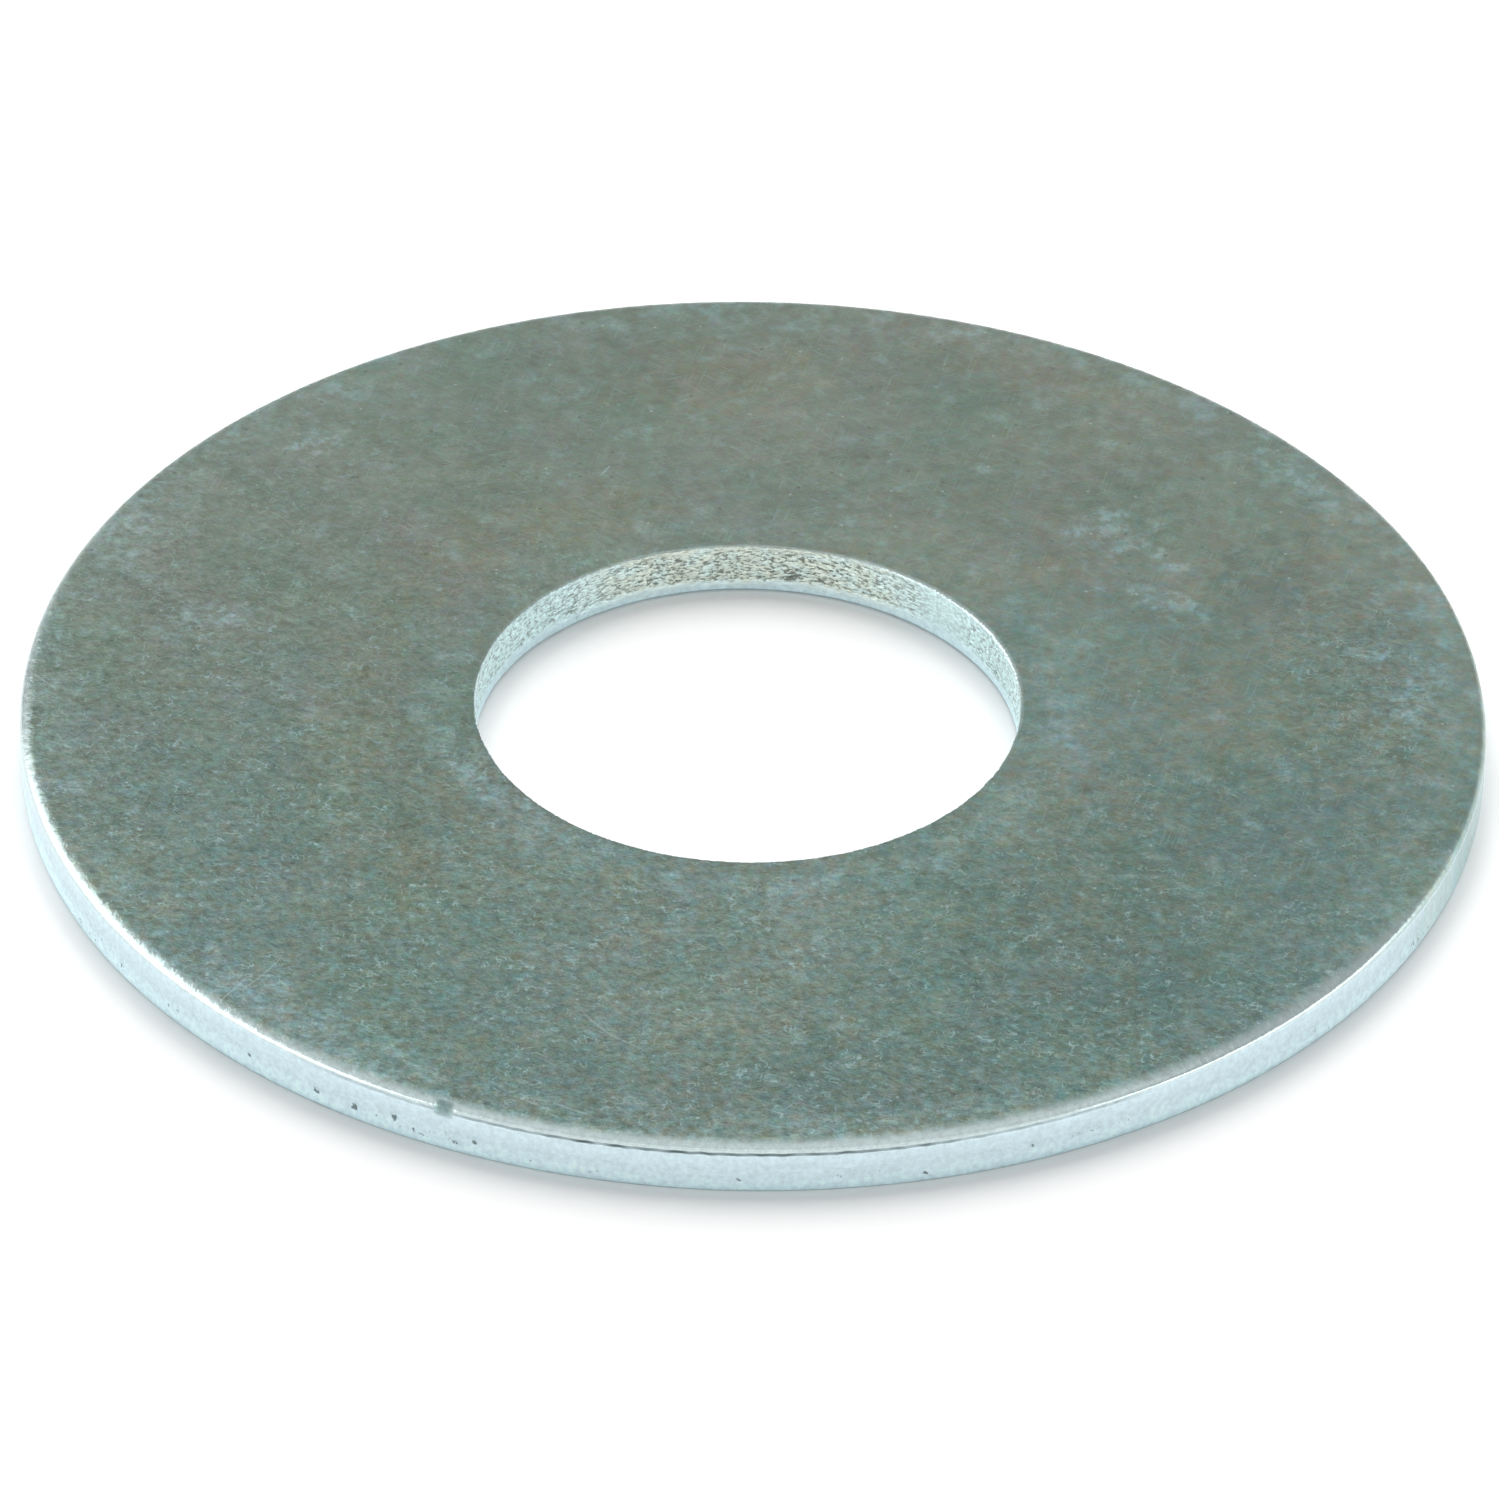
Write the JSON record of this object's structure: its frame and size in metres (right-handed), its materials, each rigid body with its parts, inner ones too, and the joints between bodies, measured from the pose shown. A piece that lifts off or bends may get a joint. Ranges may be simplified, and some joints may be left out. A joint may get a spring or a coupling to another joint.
{
  "type": "flat washer",
  "caption": "Thin plain round steel washer with a wide flat ring around one central bore, for spreading the load of a bolt head or nut.",
  "frame": {"origin": "middle of the bore at the lower bearing face", "axes": "+Z along the bore axis, from the lower face up to the upper face; X and Y are any two square diameters"},
  "size_m": [0.035, 0.035, 0.0013],
  "materials": {
    "zinc_plated_steel": "bright zinc plate dulled to a matte mottled grey-green on the faces, shiny on the sheared edges"
  },
  "bodies": {
    "root": {"flat_washer": "zinc_plated_steel"}
  },
  "joints": []
}
